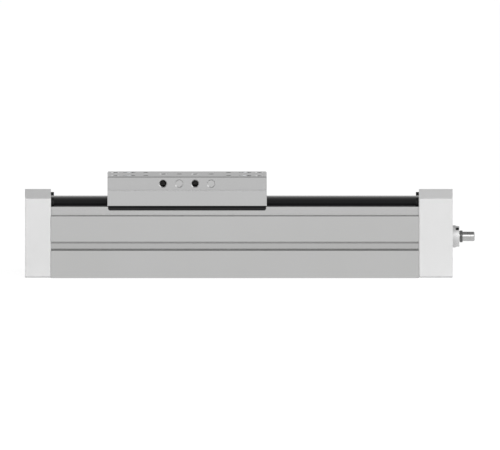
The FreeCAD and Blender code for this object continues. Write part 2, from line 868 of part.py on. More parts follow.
# Slide saddle, straddling the cover
saddle = part("slide_saddle", x=d.slide_position)
saddle_half = [
    (leg_inner, block_top),
    (leg_outer, block_top),
    (leg_outer, saddle_bottom),
    (saddle_half_width, saddle_bottom),
    (saddle_half_width, saddle_top),
]
saddle_section = saddle_half + [
    (-saddle_half_width, saddle_top),
    (-saddle_half_width, saddle_bottom),
    (-leg_outer, saddle_bottom),
    (-leg_outer, block_top),
    (-leg_inner, block_top),
    (-leg_inner, tunnel_side),
    (-leg_inner / 2, tunnel_side + d.cover_rise),
    (leg_inner / 2, tunnel_side + d.cover_rise),
    (leg_inner, tunnel_side),
]
pad(saddle, sketch(saddle, "YZ_Plane", loops=[saddle_section]), d.slide_length, both=True)
threads = holes(saddle_screw_spots, d.small_thread + d.thread_gap)
leg_feet = sketch(saddle, "XY_Plane", circles=threads, offset=block_top)
pocket(saddle, leg_feet, d.saddle_screw_reach + d.head_sink, along=True)
table_screw_spots = four(2 * (slide_half - d.table_screw_inset), 2 * hole_row)
threads = holes(table_screw_spots, d.main_thread + d.thread_gap)
pocket(
    saddle,
    sketch(saddle, "XY_Plane", circles=threads, offset=saddle_top),
    saddle_top - tunnel_side,
)

# Side seals hanging from the saddle's edges
for label, side in (("side_seal_front", -1), ("side_seal_rear", 1)):
    body = part(label, x=d.slide_position)
    inner = side * (rim_outer + d.seal_gap)
    outer = inner + side * d.seal_thickness
    low, high = (outer, inner) if side < 0 else (inner, outer)
    outline = box_loop(low, high, saddle_bottom - d.seal_height, saddle_bottom)
    seal_length = d.slide_length - 2 * d.seal_end_inset
    pad(body, sketch(body, "YZ_Plane", loops=[outline]), seal_length, both=True)

# Slide table with its fastening holes and lubrication ports
table = part("slide_table", x=d.slide_position)
table_foot = table_half + d.table_draft
table_section = [
    (-table_foot, saddle_top),
    (table_foot, saddle_top),
    (table_half, table_top),
    (-table_half, table_top),
]
pad(table, sketch(table, "YZ_Plane", loops=[table_section]), d.slide_length, both=True)
dress(table, "Chamfer", d.table_chamfer, lambda edge: edge.BoundBox.ZMin > table_top.value - SNAP)
centre_row = [(-d.port_outer, 0), (-d.port_inner, 0), (d.port_inner, 0), (d.port_outer, 0)]
corner_spots = four(2 * (slide_half - d.corner_hole_inset), 2 * hole_row)
inner_spots = four(2 * (slide_half - d.inner_hole_inset), 2 * hole_row)
threads = holes(corner_spots + inner_spots + centre_row, d.table_thread)
pocket(table, sketch(table, "XY_Plane", circles=threads, offset=table_top), d.table_thread_depth)
located = corner_spots + [centre_row[0], centre_row[2]]
rings = holes(located, d.locating_bore)
pocket(table, sketch(table, "XY_Plane", circles=rings, offset=table_top), d.locating_depth)
shanks = holes(table_screw_spots, d.main_thread + d.clear_gap)
pocket(table, sketch(table, "XY_Plane", circles=shanks, offset=table_top), d.table_thickness)
heads = holes(table_screw_spots, d.main_head + d.head_gap)
head_depth = d.main_head_height + d.head_sink
pocket(table, sketch(table, "XY_Plane", circles=heads, offset=table_top), head_depth)
port_spots = [(x, saddle_top + d.port_rise) for x, _ in centre_row]
ports = holes(port_spots, d.port_bore)
for side in (1, -1):
    face = sketch(table, "XZ_Plane", circles=ports, offset=side * table_foot)
    pocket(table, face, d.port_depth + d.table_draft, along=side < 0)


def is_port_mouth(edge):
    """Pick the round mouths of the ports on the table's long faces."""
    box = edge.BoundBox
    near_face = abs(abs(box.YMin + box.YMax) / 2 - table_half.value) < d.table_draft.value
    return near_face and abs(box.XLength - d.port_bore.value) < SNAP and box.YLength < d.table_draft.value


dress(table, "Chamfer", d.port_chamfer, is_port_mouth)
screws(
    "table_screws",
    "XY_Plane",
    table_screw_spots,
    "main",
    table_top - head_depth,
    d.table_thickness - head_depth + d.table_screw_reach,
    socket=d.main_socket,
    x=d.slide_position,
)
sleeves = part("locating_sleeves", x=d.slide_position)
sleeve_rings = holes(located, d.locating_bore - 2 * d.sleeve_gap) + holes(located, d.sleeve_bore)
sleeve_foot = sketch(sleeves, "XY_Plane", circles=sleeve_rings, offset=table_top - d.locating_depth)
pad(sleeves, sleeve_foot, d.locating_depth - d.sleeve_sink)


def is_sleeve_mouth(edge):
    """Pick the upper inner edges of the locating sleeves."""
    box = edge.BoundBox
    on_top = box.ZMin > (table_top - d.locating_depth / 2).value and box.ZLength < SNAP
    return on_top and abs(box.XLength - d.sleeve_bore.value) < SNAP


dress(sleeves, "Chamfer", d.sleeve_chamfer, is_sleeve_mouth)
plugs = part("port_plugs", x=d.slide_position)
plugged = holes([port_spots[1], port_spots[3]], d.port_bore)
for side in (1, -1):
    face = sketch(plugs, "XZ_Plane", circles=plugged, offset=side * (table_half - d.plug_recess))
    pad(plugs, face, d.plug_length, back=side > 0)

# Screw shaft, from the support journal to the drive stub
drive_seat = half_length + d.drive_shoulder
drive_end = drive_seat + 2 * d.drive_width + d.bearing_pair_gap
nut_end = drive_end + d.lock_nut_length
cap_face = half_length + cap_right_length
lip_start = d.boss_length + d.lip_seal_gap
lip_end = cap_face + lip_start + d.lip_seal_length
shaft_tip = cap_face + d.shaft_length
journal_face = -half_length - d.support_shoulder
clip_end = journal_face - d.support_width
shaft = part("screw_shaft", z=screw_height)
revolve(
    shaft,
    [
        (-half_length - d.journal_end, 0),
        (shaft_tip, 0),
        (shaft_tip, d.shaft_width / 2 - d.shaft_chamfer),
        (shaft_tip - d.shaft_chamfer, d.shaft_width / 2),
        (lip_end, d.shaft_width / 2),
        (lip_end, d.lip_journal / 2),
        (nut_end, d.lip_journal / 2),
        (nut_end, d.drive_bore / 2),
        (drive_seat, d.drive_bore / 2),
        (drive_seat, d.screw_width / 2),
        (journal_face, d.screw_width / 2),
        (journal_face, d.support_bore / 2),
        (-half_length - d.journal_end, d.support_bore / 2),
    ],
)
raceway(shaft, d.raceway_inset - half_length, d.profile_length - 2 * d.raceway_inset)

# Drive bearings, a pair, and the support bearing; each as two rings with the ball set between
for name, start, count, width, bore, outside in (
    ("drive_bearing", drive_seat, 2, d.drive_width, d.drive_bore, d.drive_outside),
    ("support_bearing", clip_end, 1, d.support_width, d.support_bore, d.support_outside),
):
    plural = "s" if count > 1 else ""
    stations = [start + n * (width + d.bearing_pair_gap) for n in range(count)]
    outer = part(f"{name}_outer_ring{plural}", z=screw_height)
    inner = part(f"{name}_inner_ring{plural}", z=screw_height)
    balls = part(f"{name}_ball_ring{plural}", z=screw_height)
    inner_edge = bore + 2 * d.ring_wall
    outer_edge = outside - 2 * d.ring_wall
    for station in stations:
        ring(outer, station, station + width, outer_edge, outside)
        ring(inner, station, station + width, bore, inner_edge)
        ring(
            balls,
            station + d.ball_ring_inset,
            station + width - d.ball_ring_inset,
            inner_edge + 2 * d.ring_gap,
            outer_edge,
        )

clip = part("retaining_ring", z=screw_height)
ring(clip, clip_end - d.clip_thickness, clip_end, d.support_bore, d.clip_width)

# Lock nut that clamps the drive bearings, with four spanner slots
lock_nut = part("bearing_lock_nut", x=drive_end, z=screw_height)
ring(lock_nut, as_dim(0), d.lock_nut_length, d.drive_bore, d.lock_nut_width)
slot_floor = d.lock_nut_width / 2 - d.lock_nut_slot_depth
slot_mouth = d.lock_nut_width / 2 + d.lock_nut_slot_depth
slot_half = d.lock_nut_slot / 2
slots = [
    box_loop(slot_floor, slot_mouth, -slot_half, slot_half),
    box_loop(-slot_mouth, -slot_floor, -slot_half, slot_half),
    box_loop(-slot_half, slot_half, slot_floor, slot_mouth),
    box_loop(-slot_half, slot_half, -slot_mouth, -slot_floor),
]
pocket(lock_nut, sketch(lock_nut, "YZ_Plane", loops=slots), d.lock_nut_length, along=True)

# Bearing cover, flush in the drive cap, with the tapered boss round the shaft
bearing_cover = part("bearing_cover", x=cap_face, z=screw_height)
spigot_end = drive_end - cap_face
cavity = d.lock_nut_width / 2 + d.shaft_gap
cavity_end = spigot_end + d.lock_nut_length + d.lip_seal_gap
shaft_hole = d.lip_journal / 2 + d.shaft_gap
revolve(
    bearing_cover,
    [
        (spigot_end, cavity),
        (cavity_end, cavity),
        (cavity_end, shaft_hole),
        (d.boss_length, shaft_hole),
        (d.boss_length, d.boss_tip / 2),
        (d.boss_land, d.boss_base / 2 - d.boss_step),
        (d.boss_land, d.boss_base / 2),
        (0, d.boss_base / 2),
        (0, d.flange_width / 2),
        (-d.flange_thickness, d.flange_width / 2),
        (-d.flange_thickness, d.drive_outside / 2),
        (spigot_end, d.drive_outside / 2),
    ],
)
flange_spots = four(d.flange_screw_circle / math.sqrt(2), d.flange_screw_circle / math.sqrt(2))
shanks = holes(flange_spots, d.tiny_thread + d.clear_gap)
pocket(bearing_cover, sketch(bearing_cover, "YZ_Plane", circles=shanks), d.flange_thickness)
heads = holes(flange_spots, d.tiny_head + d.clear_gap)
head_room = d.tiny_head_height + d.head_sink / 2
pocket(bearing_cover, sketch(bearing_cover, "YZ_Plane", circles=heads), head_room)
screws(
    "bearing_cover_screws",
    "YZ_Plane",
    flange_spots,
    "tiny",
    -head_room,
    d.flange_thickness - head_room + d.flange_screw_reach,
    socket=d.tiny_socket,
    x=cap_face,
    z=screw_height,
)
lip_seal = part("shaft_seal_ring", x=cap_face, z=screw_height)
ring(lip_seal, lip_start, lip_start + d.lip_seal_length, d.lip_journal, d.lip_seal_width)

doc.recompute()
broken = [item.Label for item in doc.Objects if {"Invalid", "Error"} & set(item.State)]
if broken:
    raise RuntimeError(f"these objects do not build: {broken}")
os.makedirs("parts", exist_ok=True)
for body in parts:
    shape = body.Shape
    if shape.isNull() or not shape.isValid():
        raise RuntimeError(f"{body.Label} has no valid shape")
    shape.exportStep(f"parts/{body.Label}.step")
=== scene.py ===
"""Looks of the ball screw linear axis: finishes, small machined details, floor, light and camera."""

import logging
import math
from collections.abc import Callable
from dataclasses import dataclass, replace
from enum import Enum

import bmesh
import bpy
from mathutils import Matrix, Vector


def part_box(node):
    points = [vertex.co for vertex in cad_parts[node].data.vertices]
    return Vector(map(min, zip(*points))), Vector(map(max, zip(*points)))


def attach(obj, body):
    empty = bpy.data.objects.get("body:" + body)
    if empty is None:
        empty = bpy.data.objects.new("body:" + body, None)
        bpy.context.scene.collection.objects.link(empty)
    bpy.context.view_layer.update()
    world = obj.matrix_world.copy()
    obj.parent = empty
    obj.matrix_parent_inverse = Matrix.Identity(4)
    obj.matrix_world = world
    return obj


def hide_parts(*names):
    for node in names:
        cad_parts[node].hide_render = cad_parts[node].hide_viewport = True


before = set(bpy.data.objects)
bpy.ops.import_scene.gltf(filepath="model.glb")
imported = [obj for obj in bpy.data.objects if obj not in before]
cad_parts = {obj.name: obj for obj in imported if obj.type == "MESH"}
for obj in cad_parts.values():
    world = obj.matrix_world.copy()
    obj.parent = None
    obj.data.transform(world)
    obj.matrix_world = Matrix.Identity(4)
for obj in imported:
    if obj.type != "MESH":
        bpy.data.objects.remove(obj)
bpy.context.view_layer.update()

log = logging.getLogger("linear_axis")

MM = 0.001

# Height of the screw's axis above the base face.
SCREW_AXIS_MM = 23.3
# Core radius and pitch of the two sizes of tapped hole.
M4_CORE_MM = 1.65
M4_PITCH_MM = 0.7
M5_CORE_MM = 2.1
M5_PITCH_MM = 0.8
# Middles of the open ports on both sides of the table, along and up.
PORTS_MM = ((-45.1, 58.3), (-25, 58.3))
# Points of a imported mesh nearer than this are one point.
WELD_MM = 0.001
EDGE_SEGMENTS = 2
# Added pieces shade smoothly across edges that turn by less than this.
SMOOTH_DEG = 35
# A face whose normal rises by more than this is level.
LEVEL_RISE = 0.9

# Socket numbers of a Mix node that blends two colours.
MIX_SHARE = 0
MIX_FIRST = 6
MIX_SECOND = 7
MIX_RESULT = 2

Socket = bpy.types.NodeSocket
Point = tuple[float, float]
Triple = tuple[float, float, float]
Colour = tuple[float, float, float, float]


class Body(Enum):
    """The rigid bodies that added pieces ride on."""

    BASE = "base"
    SLIDE = "slide"


class Slot(Enum):
    """The record's material slots that added pieces take their finish from."""

    ALUMINIUM = "anodised_aluminium"
    STEEL = "bearing_steel"
    SEAL = "seal_plastic"
    RUBBER = "rubber"


def linear(hex_colour: str) -> Colour:
    """Turn an sRGB hex colour into linear RGBA.

    Args:
        hex_colour: Six hex digits after a hash sign.

    Returns:
        The linear colour with an alpha of one.
    """
    channels = [int(hex_colour[n:n + 2], 16) / 255 for n in (1, 3, 5)]
    toned = [c / 12.92 if c <= 0.04045 else ((c + 0.055) / 1.055) ** 2.4 for c in channels]
    return (*toned, 1.0)


def grey(level: float) -> Colour:
    """Give a linear grey of this level as RGBA."""
    return (level, level, level, 1.0)


def add_node(
    tree: bpy.types.NodeTree, kind: str, inputs: dict[int | str, object], **settings: object
) -> bpy.types.Node:
    """Add a node with its settings, and link or set its inputs.

    Args:
        tree: The node tree that gets the node.
        kind: The node's type name.
        inputs: Sockets to link from, or plain values to set, by input name or number.
        settings: Properties of the node itself.

    Returns:
        The new node.
    """
    node = tree.nodes.new(kind)
    for name, value in settings.items():
        setattr(node, name, value)
    for name, value in inputs.items():
        if isinstance(value, Socket):
            tree.links.new(value, node.inputs[name])
        else:
            node.inputs[name].default_value = value
    return node


def per_mm(*lengths: float) -> tuple[float, ...]:
    """Give the scale of a pattern in millimetres, on coordinates in metres."""
    return tuple(1 / (length * MM) for length in lengths)


@dataclass(frozen=True, kw_only=True)
class Finish:
    """A surface finish: a base shader, with the pattern that each kind of finish adds.

    The tone pattern runs from colour to tint, the grain pattern spreads the roughness,
    and the height pattern is a relief of the given depth. The rim colour tints a metal at a
    glancing angle, where a coat over it takes some of the light.
    """

    name: str
    colour: str
    tint: str
    metallic: float
    roughness: float
    spread: float
    relief_mm: float
    specular: float = 0.5
    rim: str = "#FFFFFF"

    def patterns(self, tree: bpy.types.NodeTree, place: Socket) -> tuple[Socket, Socket, Socket]:
        """Add the pattern nodes.

        Args:
            tree: The material's node tree.
            place: Object coordinates in metres.

        Returns:
            The tone, grain and height sockets, each from 0 to 1.
        """
        raise NotImplementedError

    def make(self) -> bpy.types.Material:
        """Build the material.

        Returns:
            The finished material.
        """
        material = bpy.data.materials.new(self.name)
        material.use_nodes = True
        tree = material.node_tree
        shader = tree.nodes["Principled BSDF"]
        shader.inputs["Metallic"].default_value = self.metallic
        shader.inputs["Specular IOR Level"].default_value = self.specular
        shader.inputs["Specular Tint"].default_value = linear(self.rim)
        place = add_node(tree, "ShaderNodeTexCoord", {}).outputs["Object"]
        tone, grain, height = self.patterns(tree, place)
        ends = {MIX_SHARE: tone, MIX_FIRST: linear(self.colour), MIX_SECOND: linear(self.tint)}
        blend = add_node(tree, "ShaderNodeMix", ends, data_type="RGBA")
        tree.links.new(blend.outputs[MIX_RESULT], shader.inputs["Base Color"])
        span = {
            "Value": grain,
            "To Min": self.roughness - self.spread,
            "To Max": self.roughness + self.spread,
        }
        rough = add_node(tree, "ShaderNodeMapRange", span)
        tree.links.new(rough.outputs["Result"], shader.inputs["Roughness"])
        relief = {"Height": height, "Strength": 1.0, "Distance": self.relief_mm * MM}
        bump = add_node(tree, "ShaderNodeBump", relief)
        tree.links.new(bump.outputs["Normal"], shader.inputs["Normal"])
        return material


@dataclass(frozen=True, kw_only=True)
class DrawnFinish(Finish):
    """A finish with long fine lines along X, as a die, a cutter or a grinding wheel leaves."""

    line_mm: float
    run_mm: float
    mottle_mm: float

    def patterns(self, tree: bpy.types.NodeTree, place: Socket) -> tuple[Socket, Socket, Socket]:
        """Add long lines, and a soft mottle for the tone.

        Args:
            tree: The material's node tree.
            place: Object coordinates in metres.

        Returns:
            The mottle for the tone, and the lines for the grain and the height.
        """
        stretch = {0: place, 1: per_mm(self.run_mm, self.line_mm, self.line_mm)}
        drawn = add_node(tree, "ShaderNodeVectorMath", stretch, operation="MULTIPLY")
        noise = {"Vector": drawn.outputs["Vector"], "Scale": 1.0, "Detail": 4.0, "Roughness": 0.6}
        lines = add_node(tree, "ShaderNodeTexNoise", noise).outputs["Fac"]
        cloud = {"Vector": place, "Scale": per_mm(self.mottle_mm)[0], "Detail": 2.0}
        mottle = add_node(tree, "ShaderNodeTexNoise", cloud).outputs["Fac"]
        return mottle, lines, lines


@dataclass(frozen=True, kw_only=True)
class GrainFinish(Finish):
    """A finish with an even grain, as blasting, plating or moulding leaves."""

    grain_mm: float
    mottle_mm: float

    def patterns(self, tree: bpy.types.NodeTree, place: Socket) -> tuple[Socket, Socket, Socket]:
        """Add the grain, and a soft mottle for the tone.

        Args:
            tree: The material's node tree.
            place: Object coordinates in metres.

        Returns:
            The mottle for the tone, and the grain for the roughness and the height.
        """
        fine = {"Vector": place, "Scale": per_mm(self.grain_mm)[0], "Detail": 2.0}
        grain = add_node(tree, "ShaderNodeTexNoise", fine).outputs["Fac"]
        cloud = {"Vector": place, "Scale": per_mm(self.mottle_mm)[0], "Detail": 2.0}
        mottle = add_node(tree, "ShaderNodeTexNoise", cloud).outputs["Fac"]
        return mottle, grain, grain


@dataclass(frozen=True, kw_only=True)
class TurnedFinish(Finish):
    """A finish with fine rings about the screw's axis, as a lathe leaves."""

    feed_mm: float
    band_feeds: float = 8

    def patterns(self, tree: bpy.types.NodeTree, place: Socket) -> tuple[Socket, Socket, Socket]:
        """Add rings that follow the distance along the axis and from it.

        Args:
            tree: The material's node tree.
            place: Object coordinates in metres.

        Returns:
            Broad bands for the tone, and the rings for the grain and the height.
        """
        centre = {0: place, 1: (0.0, 0.0, SCREW_AXIS_MM * MM)}
        local = add_node(tree, "ShaderNodeVectorMath", centre, operation="SUBTRACT").outputs["Vector"]
        parts = add_node(tree, "ShaderNodeSeparateXYZ", {"Vector": local}).outputs
        flat = add_node(tree, "ShaderNodeCombineXYZ", {"Y": parts["Y"], "Z": parts["Z"]}).outputs["Vector"]
        radius = add_node(tree, "ShaderNodeVectorMath", {0: flat}, operation="LENGTH").outputs["Value"]
        lathe = add_node(tree, "ShaderNodeCombineXYZ", {"X": parts["X"], "Y": radius}).outputs["Vector"]
        feed = {"Vector": lathe, "Scale": per_mm(self.feed_mm)[0], "Detail": 3.0}
        rings = add_node(tree, "ShaderNodeTexNoise", feed).outputs["Fac"]
        broad = {"Vector": lathe, "Scale": per_mm(self.feed_mm * self.band_feeds)[0], "Detail": 1.0}
        bands = add_node(tree, "ShaderNodeTexNoise", broad).outputs["Fac"]
        return bands, rings, rings


# Die lines run the length of the extrusion: 0.3 mm apart on the real one, drawn at 0.9 mm to show.
# The clear satin coat over etched aluminium gives an even mid grey that follows the light softly.
EXTRUDED_ALUMINIUM = DrawnFinish(
    name="clear_anodised_extruded_aluminium", colour="#B8B8B8", tint="#B3B3B2",
    metallic=1.0, roughness=0.18, spread=0.04, relief_mm=0.003, rim="#B2B2B2",
    line_mm=0.9, run_mm=260, mottle_mm=45,
)
# Painted shade: the backs of the side grooves get a darker grey that stands in for the shade under the
# grooves' upper lips.
GROOVE_PAINTED_SHADE_ALUMINIUM = replace(
    EXTRUDED_ALUMINIUM, name="groove_aluminium_painted_shade", colour="#AFAFAF", tint="#ABABAA",
)
# Painted shade: the shelves beside the channel's rims get a darker grey and a dark rim tint, which paint
# the dark line the ledge shows at a glancing angle.
SHELF_PAINTED_SHADE_ALUMINIUM = replace(
    EXTRUDED_ALUMINIUM, name="shelf_aluminium_painted_shade", colour="#B0B0B0", tint="#ABABAA", rim="#707070",
)
# Painted light: the sloping undercut faces above the grooves get a lighter grey and a brighter rim tint,
# which lift the shade under the grooves' upper lips.
UNDERCUT_PAINTED_LIGHT_ALUMINIUM = replace(
    EXTRUDED_ALUMINIUM, name="undercut_aluminium_painted_light", colour="#CECECE", tint="#CACAC9",
    rim="#E0E0E0",
)
# Fly cut before the coat: finer lines and a slightly closer sheen than the extrusion.
MILLED_ALUMINIUM = DrawnFinish(
    name="clear_anodised_milled_aluminium", colour="#B8B8B8", tint="#B4B4B4",
    metallic=1.0, roughness=0.15, spread=0.04, relief_mm=0.002, rim="#B9B9B9",
    line_mm=0.6, run_mm=60, mottle_mm=30,
)
# Cut after the coat, so the bare metal of chamfers and seats is glossier; its pale grey is partly painted
# light, which lifts the shade in the screws' counterbores and brightens glints on the ports' bevels.
BARE_ALUMINIUM_PAINTED_LIGHT = GrainFinish(
    name="bare_aluminium_painted_light", colour="#DADADA", tint="#CECECE",
    metallic=1.0, roughness=0.25, spread=0.06, relief_mm=0.003,
    grain_mm=0.35, mottle_mm=3,
)
# Painted shade: the tapped bores and their thread ridges get a dull dark grey that stands in for the shade
# down in the holes.
TAPPED_PAINTED_SHADE_ALUMINIUM = GrainFinish(
    name="tapped_aluminium_painted_shade", colour="#6E6E6C", tint="#565655",
    metallic=1.0, roughness=0.42, spread=0.08, relief_mm=0.006,
    grain_mm=0.3, mottle_mm=1.5,
)
# Powder coat bakes to a pale satin film with a fine orange peel, so it shades like paint, not metal.
POWDER_COAT = GrainFinish(
    name="light_grey_powder_coated_aluminium", colour="#DCDCDC", tint="#D7D7D7",
    metallic=0.0, roughness=0.62, spread=0.05, relief_mm=0.012,
    grain_mm=0.7, mottle_mm=30,
)
# The dyed coat is a near black film with a dull satin skin that brightens at a glancing angle.
BLACK_ALUMINIUM = DrawnFinish(
    name="black_anodised_aluminium", colour="#0F0F10", tint="#0C0C0D",
    metallic=0.0, roughness=0.16, spread=0.04, relief_mm=0.003, specular=0.18,
    line_mm=0.8, run_mm=220, mottle_mm=40,
)
# Lathe rings 0.1 mm apart, drawn at 0.25 mm to show, under a bright steel shine.
TURNED_STEEL = TurnedFinish(
    name="turned_steel", colour="#B2B2B1", tint="#A6A6A6",
    metallic=1.0, roughness=0.24, spread=0.06, relief_mm=0.004,
    feed_mm=0.25,
)
# Turned, then fine blasted: a pale, soft metal that shades broadly from light to dark.
BLASTED_STEEL = GrainFinish(
    name="turned_and_blasted_steel", colour="#D2D2D2", tint="#CACACA",
    metallic=1.0, roughness=0.55, spread=0.05, relief_mm=0.006,
    grain_mm=0.3, mottle_mm=6,
)
# Ground races: fine straight lines and a dense mirror-like grey.
GROUND_STEEL = DrawnFinish(
    name="ground_bearing_steel", colour="#C9C9CA", tint="#BDBDBF",
    metallic=1.0, roughness=0.2, spread=0.05, relief_mm=0.002,
    line_mm=0.3, run_mm=20, mottle_mm=12,
)
# Painted shade: the locating sleeves' bores get a near black steel that stands in for the shade down the
# holes.
SLEEVE_BORE_PAINTED_SHADE = GrainFinish(
    name="sleeve_bore_steel_painted_shade", colour="#161617", tint="#1D1D1E",
    metallic=1.0, roughness=0.4, spread=0.06, relief_mm=0.002,
    grain_mm=0.3, mottle_mm=2,
)
# Zinc over rolled steel gives a cool, slightly cloudy bright skin.
PLATED_STEEL = GrainFinish(
    name="zinc_plated_screw_steel", colour="#C3C6C9", tint="#AEB1B5",
    metallic=1.0, roughness=0.3, spread=0.08, relief_mm=0.004,
    grain_mm=0.6, mottle_mm=2,
)
# Nitrile rubber: dull charcoal with a fine bloom.
RUBBER = GrainFinish(
    name="nitrile_rubber", colour="#080808", tint="#0E0E0E",
    metallic=0.0, roughness=0.62, spread=0.08, relief_mm=0.012, specular=0.3,
    grain_mm=0.4, mottle_mm=4,
)
# A lip seal's rubber is polished where it runs on the shaft: a lighter charcoal with a clear shine.
POLISHED_RUBBER = TurnedFinish(
    name="polished_seal_rubber", colour="#505050", tint="#5A5A5A",
    metallic=0.0, roughness=0.28, spread=0.06, relief_mm=0.004,
    feed_mm=0.3,
)
# Hardened and polished: a mirror that takes its light and dark from all around it, brightened to near white
# as painted highlight so the sleeves' rims show white glints.
POLISHED_STEEL_PAINTED_HIGHLIGHT = GrainFinish(
    name="polished_steel_painted_highlight", colour="#FAFAFA", tint="#F4F4F4",
    metallic=1.0, roughness=0.08, spread=0.03, relief_mm=0.001,
    grain_mm=0.4, mottle_mm=2,
)
# Moulded acetal: black with a faint waxy shine.
ACETAL = GrainFinish(
    name="moulded_black_acetal", colour="#0A0A0B", tint="#0F0F10",
    metallic=0.0, roughness=0.4, spread=0.06, relief_mm=0.005, specular=0.18,
    grain_mm=0.5, mottle_mm=6,
)

FINISHES = (
    EXTRUDED_ALUMINIUM,
    GROOVE_PAINTED_SHADE_ALUMINIUM,
    UNDERCUT_PAINTED_LIGHT_ALUMINIUM,
    SHELF_PAINTED_SHADE_ALUMINIUM,
    MILLED_ALUMINIUM,
    BARE_ALUMINIUM_PAINTED_LIGHT,
    TAPPED_PAINTED_SHADE_ALUMINIUM,
    POWDER_COAT,
    BLACK_ALUMINIUM,
    TURNED_STEEL,
    BLASTED_STEEL,
    GROUND_STEEL,
    PLATED_STEEL,
    RUBBER,
    POLISHED_RUBBER,
    POLISHED_STEEL_PAINTED_HIGHLIGHT,
    SLEEVE_BORE_PAINTED_SHADE,
    ACETAL,
)


class Paintbox:
    """The materials made from the finishes, one of each."""

    def __init__(self) -> None:
        """Make every material once."""
        self.made = {finish.name: finish.make() for finish in FINISHES}

    def coat(self, node: str, finish: Finish) -> None:
        """Give a whole CAD node one finish.

        Args:
            node: The CAD node's name.
            finish: The finish that it gets.
        """
        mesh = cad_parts[node].data
        mesh.materials.clear()
        mesh.materials.append(self.made[finish.name])
        log.info("%s: %s", node, finish.name)

    def coat_faces(self, node: str, finish: Finish, chosen: Callable[[Vector, Vector], bool]) -> None:
        """Give some faces of a CAD node a second finish.

        Args:
            node: The CAD node's name, which has its first finish.
            finish: The second finish.
            chosen: Says whether a face with this middle and normal, in metres, is one of them.
        """
        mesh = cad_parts[node].data
        mesh.materials.append(self.made[finish.name])
        place = len(mesh.materials) - 1
        picked = [face for face in mesh.polygons if chosen(face.center, face.normal)]
        for face in picked:
            face.material_index = place
        log.info("%s: %s on %d faces", node, finish.name, len(picked))


def break_edges(node: str, width_mm: float, angle_deg: float = 40) -> None:
    """Round the sharp edges of a CAD node a little, as deburring does.

    Args:
        node: The CAD node's name.
        width_mm: Width of the rounding.
        angle_deg: Edges that turn by more than this are rounded.
    """
    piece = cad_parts[node]
    weld = piece.modifiers.new("joined_facets", "WELD")
    weld.merge_threshold = WELD_MM * MM
    bevel = piece.modifiers.new("broken_edges", "BEVEL")
    bevel.width = width_mm * MM
    bevel.segments = EDGE_SEGMENTS
    bevel.limit_method = "ANGLE"
    bevel.angle_limit = math.radians(angle_deg)
    bevel.harden_normals = True


def finish_piece(
    name: str, mesh_maker: bmesh.types.BMesh, material: bpy.types.Material, body: Body
) -> bpy.types.Object:
    """Turn a finished bmesh into a piece that rides on a body.

    Args:
        name: The piece's name.
        mesh_maker: The shape, in metres, in the frame's place.
        material: Its material.
        body: The body that carries it.

    Returns:
        The new object.
    """
    bmesh.ops.recalc_face_normals(mesh_maker, faces=mesh_maker.faces)
    mesh = bpy.data.meshes.new(name)
    mesh_maker.to_mesh(mesh)
    mesh_maker.free()
    mesh.shade_smooth()
    mesh.set_sharp_from_angle(angle=math.radians(SMOOTH_DEG))
    mesh.materials.append(material)
    piece = bpy.data.objects.new(name, mesh)
    bpy.context.scene.collection.objects.link(piece)
    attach(piece, body.value)
    log.info("%s: %d faces on %s", name, len(mesh.polygons), body.value)
    return piece


def skin(maker: bmesh.types.BMesh, rows: list[list[bmesh.types.BMVert]]) -> None:
    """Join rows of points, each a closed section, to a solid with closed ends.

    Args:
        maker: The bmesh that holds the points and gets the faces.
        rows: The sections in order, each with the same number of points.
    """
    for row, later in zip(rows, rows[1:]):
        for n in range(len(row)):
            maker.faces.new((row[n - 1], row[n], later[n], later[n - 1]))
    maker.faces.new(rows[0])
    maker.faces.new(rows[-1])


@dataclass(frozen=True, kw_only=True)
class Bores:
    """Equal tapped holes, given by the axis they run along and their middles across it.

    The middles are in the order of the two other axes, and the mouth is a place on the axis.
    The crest and the far foot of a thread's ridge lie at their shares of the pitch.
    """

    axis: int
    middles_mm: tuple[Point, ...]
    radius_mm: float
    mouth_mm: float
    inward: int
    thread_mm: float
    pitch_mm: float
    ridge_mm: float = 0.22
    crest_share: float = 0.42
    foot_share: float = 0.84
    seat_mm: float = 0.03
    slack_mm: float = 0.02
    steps: int = 24

    def holds(self, middle: Vector, _normal: Vector) -> bool:
        """Say whether a face lies inside one of the holes.

        Args:
            middle: The face's middle, in metres.
            _normal: The face's normal, which does not matter here.

        Returns:
            True inside a hole, at any depth.
        """
        across = [middle[n] / MM for n in range(3) if n != self.axis]
        reach = self.radius_mm + self.slack_mm
        return any(math.dist(across, spot) < reach for spot in self.middles_mm)

    def point(self, spot: Point, radius: float, angle: float, along: float) -> Vector:
        """Place a point of a hole, given about its own axis in millimetres.

        Args:
            spot: The hole's middle.
            radius: Distance from the hole's axis.
            angle: Angle about that axis, in radians.
            along: Depth below the mouth.

        Returns:
            The point in the frame, in metres.
        """
        across = [spot[0] + radius * math.cos(angle), spot[1] + radius * math.sin(angle)]
        across.insert(self.axis, self.mouth_mm + self.inward * along)
        return Vector(across) * MM

    def cut_threads(self, maker: bmesh.types.BMesh) -> None:
        """Wind a thread's ridge in every hole, closed at both ends.

        Args:
            maker: The bmesh that gets the ridges.
        """
        wall = self.radius_mm + self.seat_mm
        crest = self.radius_mm - self.ridge_mm
        top = self.pitch_mm * self.crest_share
        foot = self.pitch_mm * self.foot_share
        corners = ((wall, 0.0), (crest, top), (wall, foot))
        count = int(self.steps * (self.thread_mm / self.pitch_mm - 1))
        for spot in self.middles_mm:
            rows = []
            for step in range(count + 1):
                angle = math.tau * step / self.steps
                rise = self.pitch_mm * step / self.steps
                section = [self.point(spot, radius, angle, rise + up) for radius, up in corners]
                rows.append([maker.verts.new(place) for place in section])
            skin(maker, rows)


